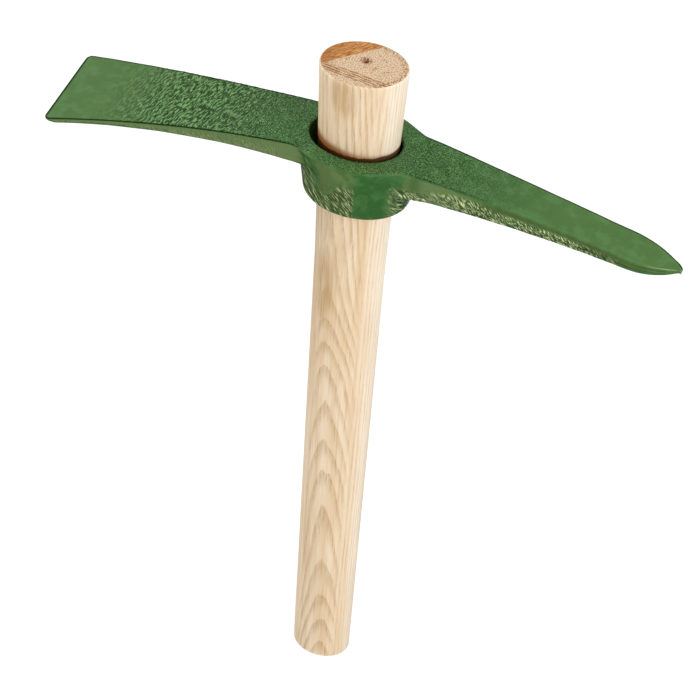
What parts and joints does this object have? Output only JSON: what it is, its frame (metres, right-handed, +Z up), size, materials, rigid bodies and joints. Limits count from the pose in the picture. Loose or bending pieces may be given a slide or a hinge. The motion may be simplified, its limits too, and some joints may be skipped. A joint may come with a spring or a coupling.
{
  "type": "hand pick mattock",
  "caption": "Short digging tool: a forged head with a flat adze blade and a tapered pick, slipped over the thin end of an oval wooden handle and jammed on its swollen top.",
  "frame": {"origin": "centre of the flat end face of the handle's butt, which the tool stands on", "axes": "+Z up along the handle to its swollen top, -X towards the adze's cutting edge, +X towards the pick's point, Y across the tool; X-Z is its plane of symmetry"},
  "size_m": [0.2903, 0.048, 0.3838],
  "materials": {
    "ash_wood": "turned and sanded pale ash with a thin clear sealer, satin, end grain bare",
    "green_paint": "forged steel under a thin glossy green spray paint that keeps the hammered and die-struck texture"
  },
  "bodies": {
    "head": {"forged_head": "green_paint"},
    "handle": {"ash_handle": "ash_wood"}
  },
  "joints": [
    {"name": "handle_draw", "type": "slide", "parent": "head", "child": "handle", "axis": [0, 0, 1], "range_m": [0, 0.345]}
  ]
}
